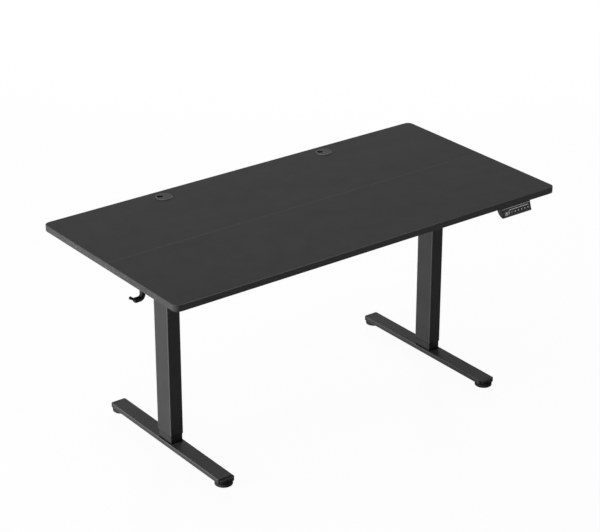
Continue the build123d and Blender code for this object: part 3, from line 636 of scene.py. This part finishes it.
def cut_away(piece, cutter):
    """Cuts a recess in a piece and takes the cutter away."""
    modifier = piece.modifiers.new("recess", "BOOLEAN")
    modifier.operation = "DIFFERENCE"
    modifier.solver = "EXACT"
    modifier.object = cutter
    bpy.ops.object.select_all(action="DESELECT")
    piece.select_set(True)
    bpy.context.view_layer.objects.active = piece
    bpy.ops.object.modifier_apply(modifier=modifier.name)
    bpy.data.objects.remove(cutter)


def copies_of(pattern, places):
    """A copy of the pattern, with its own mesh, at each place and turn. The pattern goes."""
    copies = []
    for spot, turn in places:
        copy = pattern.copy()
        copy.data = pattern.data.copy()
        bpy.context.scene.collection.objects.link(copy)
        copy.location = spot
        copy.rotation_euler = turn
        copies.append(copy)
    bpy.data.objects.remove(pattern)
    return copies


def joined(name, parts):
    """Joins parts into one piece whose place is in its mesh."""
    bpy.ops.object.select_all(action="DESELECT")
    for part in parts:
        part.select_set(True)
    bpy.context.view_layer.objects.active = parts[0]
    bpy.ops.object.transform_apply(location=True, rotation=True, scale=True)
    if len(parts) > 1:
        bpy.ops.object.join()
    piece = bpy.context.object
    piece.name = name
    piece.data.name = name
    return piece


def dress(piece, finish, body):
    """Gives a piece its finish and attaches it to its body."""
    piece.data.materials.clear()
    piece.data.materials.append(finish.material)
    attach(piece, body)
    return piece


def bolt_blank(head_radius, head_height, shank_radius, shank_length, dome):
    """Bolt along Z: its head under the origin with a domed rim, its shank above."""
    blank = lone_piece(
        bpy.ops.mesh.primitive_cylinder_add,
        vertices=28,
        radius=head_radius,
        depth=head_height,
        location=(0, 0, -head_height / 2),
    )
    pick_faces(blank, lies_on_top)
    bpy.ops.mesh.inset(thickness=head_radius - shank_radius)
    raise_faces(shank_length)
    pick_faces(blank, lies_below)
    bpy.ops.mesh.bevel(offset=dome, segments=4, affect="EDGES")
    bpy.ops.object.mode_set(mode="OBJECT")
    return blank


def cross_head_screw():
    """Wood screw with a pan head and a tapered cross recess."""
    head = 2.4 * mm
    screw = bolt_blank(
        head_radius=4.2 * mm, head_height=head, shank_radius=2 * mm, shank_length=16 * mm, dome=0.9 * mm
    )
    for turn in (0, 90):
        blade = lone_piece(
            bpy.ops.mesh.primitive_cube_add,
            size=1,
            location=(0, 0, -head),
            rotation=(0, 0, math.radians(turn)),
            scale=(4.6 * mm, 0.95 * mm, 2.8 * mm),
        )
        pick_faces(blade, lies_on_top)
        bpy.ops.transform.resize(value=(0.45, 0.45, 1))
        bpy.ops.object.mode_set(mode="OBJECT")
        cut_away(screw, blade)
    close_piece(screw)
    return screw


def socket_head_bolt(head_radius, head_height, shank_radius, shank_length, key_radius):
    """Machine bolt with a button head and a hexagonal key socket."""
    bolt = bolt_blank(head_radius, head_height, shank_radius, shank_length, 0.35 * head_height)
    key_hole = lone_piece(
        bpy.ops.mesh.primitive_cylinder_add,
        vertices=6,
        radius=key_radius,
        depth=1.3 * head_height,
        location=(0, 0, -head_height),
    )
    pick_faces(key_hole, lies_on_top)
    bpy.ops.mesh.inset(thickness=0.25 * key_radius)
    bpy.ops.transform.translate(value=(0, 0, 0.1 * head_height))
    bpy.ops.object.mode_set(mode="OBJECT")
    cut_away(bolt, key_hole)
    close_piece(bolt)
    return bolt


def board_screw_set():
    """Screws up into the boards through brackets, splice plates, control box, handset and hook."""
    bracket_seat, splice_seat, box_seat, handset_seat, hook_seat = 689.5, 690, 689, 689.5, 688
    heads = []
    for side in (-1, 1):
        for y in (-255, -190, -125, 125, 190, 255):
            heads.append((side * column_x, y, bracket_seat))
        for splice_x in (150, 680):
            for across in (-11, 11):
                for along in (-36, 36):
                    heads.append((side * splice_x + across, along, splice_seat))
        for y in (160, 220):
            heads.append((side * 113, y, box_seat))
        heads.append((handset_x + side * 34, -345.5, handset_seat))
        heads.append((hook_x, hook_y + side * 15, hook_seat))
    places = []
    for count, (x, y, z) in enumerate(heads):
        stopped_at = 2.4 * count
        places.append(((x * mm, y * mm, z * mm), (0, 0, stopped_at)))
    return joined("board_screw_set", copies_of(cross_head_screw(), places))


def frame_bolt_set():
    """Key-head bolts through the column heads, into the rails' ends and into the drive unit."""
    head_seat = 640
    bracket_wall = 515.5
    head_bolts = []
    rail_bolts = []
    for side in (-1, 1):
        for x in (-25, 25):
            for y in (-44, 44):
                stopped_at = x + y
                spot = ((side * column_x + x) * mm, y * mm, head_seat * mm)
                head_bolts.append((spot, (0, 0, stopped_at)))
        for y in (-84, 84):
            for z in (666, 682):
                spot = (side * bracket_wall * mm, y * mm, z * mm)
                rail_bolts.append((spot, (0, -side * right_angle, 0)))
    for z in (656, 672):
        rail_bolts.append(((-bracket_wall * mm, 55 * mm, z * mm), (0, right_angle, 0)))
    parts = []
    for shank_length, places in ((50 * mm, head_bolts), (9 * mm, rail_bolts)):
        bolt = socket_head_bolt(
            head_radius=5 * mm,
            head_height=4 * mm,
            shank_radius=3 * mm,
            shank_length=shank_length,
            key_radius=2.6 * mm,
        )
        parts += copies_of(bolt, places)
    return joined("frame_bolt_set", parts)


def foot_bolt_set():
    """Key-head bolts up through the foot beams into the columns."""
    seat = 11
    places = []
    for side in (-1, 1):
        for x in (-10, 10):
            for y in (-22, 22):
                stopped_at = x * y
                places.append((((side * column_x + x) * mm, y * mm, seat * mm), (0, 0, stopped_at)))
    bolt = socket_head_bolt(
        head_radius=6.5 * mm,
        head_height=4 * mm,
        shank_radius=4 * mm,
        shank_length=22 * mm,
        key_radius=3.3 * mm,
    )
    return joined("foot_bolt_set", copies_of(bolt, places))


def lay_on_handset(piece, u, v, lift=0.0):
    """Moves a flat piece to the handset's sloping face: u right of its middle, v up it and lift proud."""
    across = Vector((1, 0, 0))
    out = Vector((0, -32.7, 11)).normalized()
    up = out.cross(across)
    turn = Matrix((across, up, out)).transposed().to_4x4()
    face_middle = Vector((handset_x, -385, 675.65))
    spot = (face_middle + u * across + v * up + lift * out) * mm
    piece.matrix_world = Matrix.Translation(spot) @ turn @ piece.matrix_world
    return piece


def printed_bar(length, width, thick, corner):
    """Flat bar with rounded corners, raised from the floor by its thickness."""
    bar = lone_piece(bpy.ops.mesh.primitive_plane_add, size=1)
    pick_all()
    bpy.ops.transform.resize(value=(length * mm, width * mm, 1))
    bpy.ops.mesh.bevel(offset=corner * mm, segments=5, affect="VERTICES")
    pick_all()
    raise_faces(thick * mm)
    bpy.ops.object.mode_set(mode="OBJECT")
    close_piece(bar)
    return bar


def printed_digit(text, height):
    """Bold raised digit, lying flat with its middle at the origin."""
    bpy.ops.object.select_all(action="DESELECT")
    bpy.ops.object.text_add()
    digit = bpy.context.object
    digit.data.body = text
    digit.data.size = height * mm
    digit.data.offset = 0.22 * mm
    digit.data.extrude = 0.03 * mm
    digit.data.align_x = "CENTER"
    digit.data.align_y = "CENTER"
    bpy.ops.object.convert(target="MESH")
    return bpy.context.object


def printed_arrow(turn):
    """Raised triangle with soft corners that points up, or down after half a turn."""
    arrow = lone_piece(
        bpy.ops.mesh.primitive_circle_add,
        vertices=3,
        radius=3.2 * mm,
        fill_type="NGON",
        rotation=(0, 0, turn),
    )
    pick_all()
    bpy.ops.transform.resize(value=(1.0, 0.85, 1))
    bpy.ops.mesh.bevel(offset=0.5 * mm, segments=3, affect="VERTICES")
    pick_all()
    raise_faces(0.06 * mm)
    bpy.ops.object.mode_set(mode="OBJECT")
    close_piece(arrow)
    return arrow


def key_prints():
    """White legends printed on the six keys; each goes down with its key."""
    print_lift = 0.03
    for count, key in enumerate(("key_1", "key_2", "key_3", "key_4", "key_up", "key_down")):
        if key in ("key_up", "key_down"):
            legend = printed_arrow(0 if key == "key_up" else math.pi)
        else:
            legend = printed_digit(key[-1], height=8.2)
        key_middle = first_key + count * key_pitch
        lay_on_handset(legend, u=key_middle, v=-key_drop, lift=key_proud + print_lift)
        dress(joined(key + "_print", [legend]), print_and_highlight, key)


def pad_edge_highlight():
    """Painted highlight: a thin white line over the keys where the raised key pad's bevel catches the
    light, turned down beside the display.
    """
    length, height, line_width = 87.5 * mm, 17.5 * mm, 1.5 * mm
    ring = lone_piece(bpy.ops.mesh.primitive_plane_add, size=1)
    pick_all()
    bpy.ops.transform.resize(value=(length, height, 1))
    bpy.ops.mesh.bevel(offset=4 * mm, segments=8, affect="VERTICES")
    pick_all()
    bpy.ops.mesh.inset(thickness=line_width)
    bpy.ops.mesh.delete(type="FACE")
    pick_all()
    # Cut on a slant, so that the right end stops above the last key's opening
    bpy.ops.mesh.bisect(plane_co=(0, 1.0 * mm, 0), plane_no=(-0.12, 0.99, 0), clear_inner=True)
    pick_all()
    raise_faces(0.08 * mm)
    bpy.ops.object.mode_set(mode="OBJECT")
    close_piece(ring)
    lay_on_handset(ring, u=10.0, v=-1.3)
    return dress(joined("handset_pad_highlight", [ring]), print_and_highlight, "top")


def brow_highlight():
    """Painted highlight: a pale line along the top of the handset's face, where its rim bevel catches the
    light.
    """
    line = printed_bar(length=121, width=0.8, thick=0.1, corner=0.35)
    lay_on_handset(line, u=-1.5, v=13.6)
    return dress(joined("handset_brow_highlight", [line]), print_and_highlight, "top")


def height_digits():
    """Lit seven-bar digits behind the display window: the desk's height in inches."""
    tall, wide, bar_width, bar_gap = 8.4, 3.8, 1.0, 0.5
    digit_pitch = 5.4
    row, side = tall / 4, wide / 2
    bars = {
        "a": (0, 2 * row, 0),
        "b": (side, row, right_angle),
        "c": (side, -row, right_angle),
        "d": (0, -2 * row, 0),
        "e": (-side, -row, right_angle),
        "f": (-side, row, right_angle),
        "g": (0, 0, 0),
    }
    lit = {-digit_pitch: "abged", 0.0: "abcdefg", digit_pitch: "bc"}
    places = []
    for middle, names in lit.items():
        for name in names:
            x, y, turn = bars[name]
            places.append((((middle + x) * mm, y * mm, 0), (0, 0, turn)))
    bar = printed_bar(length=wide - bar_gap, width=bar_width, thick=0.05, corner=0.4)
    parts = copies_of(bar, places)
    point = printed_bar(length=0.9, width=0.9, thick=0.05, corner=0.3)
    point.location = (digit_pitch / 2 * mm, -2 * row * mm, 0)
    digits = joined("height_digits", parts + [point])
    lay_on_handset(digits, u=-43.75, v=-3.5, lift=0.01)
    return dress(joined("height_digits", [digits]), lit_digit, "top")


def contact_pins():
    """Plated pins inside the control box's three sockets."""
    socket_floor, socket_level = -94, 670
    pin_length, pin_width = 7 * mm, 0.9 * mm
    inlet, motor_port, handset_port = (217, 1, 3, 5.5), (190, 2, 3, 3.4), (163, 1, 5, 1.7)
    places = []
    for y, rows, columns, pitch in (inlet, motor_port, handset_port):
        for row in range(rows):
            for column in range(columns):
                across = (column - (columns - 1) / 2) * pitch
                rise = (row - (rows - 1) / 2) * pitch
                spot = (socket_floor * mm, (y + across) * mm, (socket_level + rise) * mm)
                places.append((spot, (0, 0, 0)))
    pin = lone_piece(
        bpy.ops.mesh.primitive_cube_add,
        size=1,
        location=(-pin_length / 2, 0, 0),
        scale=(pin_length, pin_width, pin_width),
    )
    pick_faces(pin, lambda face: face.normal.x < -0.9)
    bpy.ops.mesh.bevel(offset=0.25 * mm, segments=2, affect="EDGES")
    bpy.ops.object.mode_set(mode="OBJECT")
    close_piece(pin)
    return dress(joined("contact_pins", copies_of(pin, places)), plated_pin, "top")


def bare_plates():
    """Blank rating plates: one flat under the control box, one bent round the motor."""
    sheet = 0.2
    box_underside = (40 * mm, 190 * mm, 653 * mm)
    flat = printed_bar(length=58, width=30, thick=sheet, corner=2.5)
    flat.matrix_world = Matrix.Translation(box_underside) @ Matrix.Rotation(math.pi, 4, "X")
    dress(joined("box_plate", [flat]), label_stock, "top")
    on_axis = Vector(motor_middle) * mm
    bent = lone_piece(
        bpy.ops.mesh.primitive_cylinder_add,
        vertices=96,
        radius=25 * mm,
        depth=46 * mm,
        end_fill_type="NOTHING",
        location=on_axis,
        rotation=(0, right_angle, 0),
    )
    for side in (-1, 1):
        pick_all()
        slope = Vector((0, side * 0.82, -0.57))
        bpy.ops.mesh.bisect(plane_co=on_axis, plane_no=slope, clear_inner=True)
    pick_all()
    bpy.ops.mesh.normals_make_consistent(inside=False)
    bpy.ops.object.mode_set(mode="OBJECT")
    skin = bent.modifiers.new("sheet", "SOLIDIFY")
    skin.thickness = sheet * mm
    skin.offset = 1
    bpy.ops.object.modifier_apply(modifier=skin.name)
    bpy.ops.object.shade_smooth_by_angle(angle=smooth_angle)
    dress(joined("motor_plate", [bent]), label_stock, "top")


def studio_floor():
    """Pale floor: white to the camera, but it keeps a soft shadow and throws light back up."""
    bpy.ops.mesh.primitive_plane_add(size=60, location=(0, 0, -0.5 * mm))
    floor = bpy.context.object
    floor.name = "studio_floor"
    finish = Finish("pale floor", 0.0)
    finish.set("Base Color", grey(floor_level))
    finish.set("Roughness", 0.9)
    glow = finish.node("ShaderNodeEmission", {}, {"Strength": 1.0})
    lit = Value(finish, finish.shader.outputs[0])
    share = floor_glow * finish.seen_or_mirrored()
    face = finish.node("ShaderNodeMixShader", {}, {0: share, 1: lit, 2: glow})
    finish.feed(finish.tree.nodes["Material Output"].inputs["Surface"], face)
    floor.data.materials.append(finish.material)


def white_room():
    """World that is white where it is seen or mirrored, and dim as a light."""
    world = bpy.data.worlds.new("white room")
    bpy.context.scene.world = world
    world.use_nodes = True
    walls = Wiring(world.node_tree)
    background = walls.tree.nodes["Background"]
    background.inputs["Color"].default_value = (1, 1, 1, 1)
    strength = room_light + (1 - room_light) * walls.seen_or_mirrored()
    walls.feed(background.inputs["Strength"], strength)


def soft_light(name, place, aim, size, power):
    """Round soft light of some watts that lights the desk but isn't seen."""
    lamp = bpy.data.lights.new(name, "AREA")
    lamp.shape = "DISK"
    lamp.size = size
    lamp.energy = power
    lamp_object = bpy.data.objects.new(name, lamp)
    bpy.context.scene.collection.objects.link(lamp_object)
    lamp_object.location = place
    lamp_object.rotation_euler = (Vector(aim) - Vector(place)).to_track_quat("-Z", "Y").to_euler()
    lamp_object.visible_camera = False
    lamp_object.visible_glossy = False


def photo_camera():
    """Camera fitted to the photo's straight edges."""
    lens = bpy.data.cameras.new("photo_camera")
    lens.lens = 118.49
    lens.sensor_width = 36.0
    lens.clip_end = 200
    camera = bpy.data.objects.new("photo_camera", lens)
    bpy.context.scene.collection.objects.link(camera)
    azimuth = math.radians(-37.074)
    elevation = math.radians(24.81)
    camera.location = (-3.5951, -4.7321, 3.2394)
    camera.rotation_euler = (right_angle - elevation, 0, azimuth)
    bpy.context.scene.camera = camera


screws = dress(board_screw_set(), finishes["black_fastener"], "top")
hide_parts("board_screws")
frame_bolts = dress(frame_bolt_set(), finishes["black_fastener"], "top")
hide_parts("frame_bolts")
foot_bolts = dress(foot_bolt_set(), finishes["black_fastener"], "base")
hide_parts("foot_bolts")
key_prints()
pad_edge_highlight()
brow_highlight()
height_digits()
contact_pins()
bare_plates()

studio_floor()
white_room()
soft_light("left_window", place=(-4.2, 0.8, 0.75), aim=(0, 0, 0.4), size=1.2, power=232)
soft_light("rear_window", place=(5.6, 7.0, 2.1), aim=(0, 0, 0.1), size=2.8, power=1420)
soft_light("overhead", place=(-0.7, 0.2, 3.6), aim=(-0.2, 0, 0.7), size=2.6, power=58)
photo_camera()

bpy.context.scene.view_settings.view_transform = "Standard"
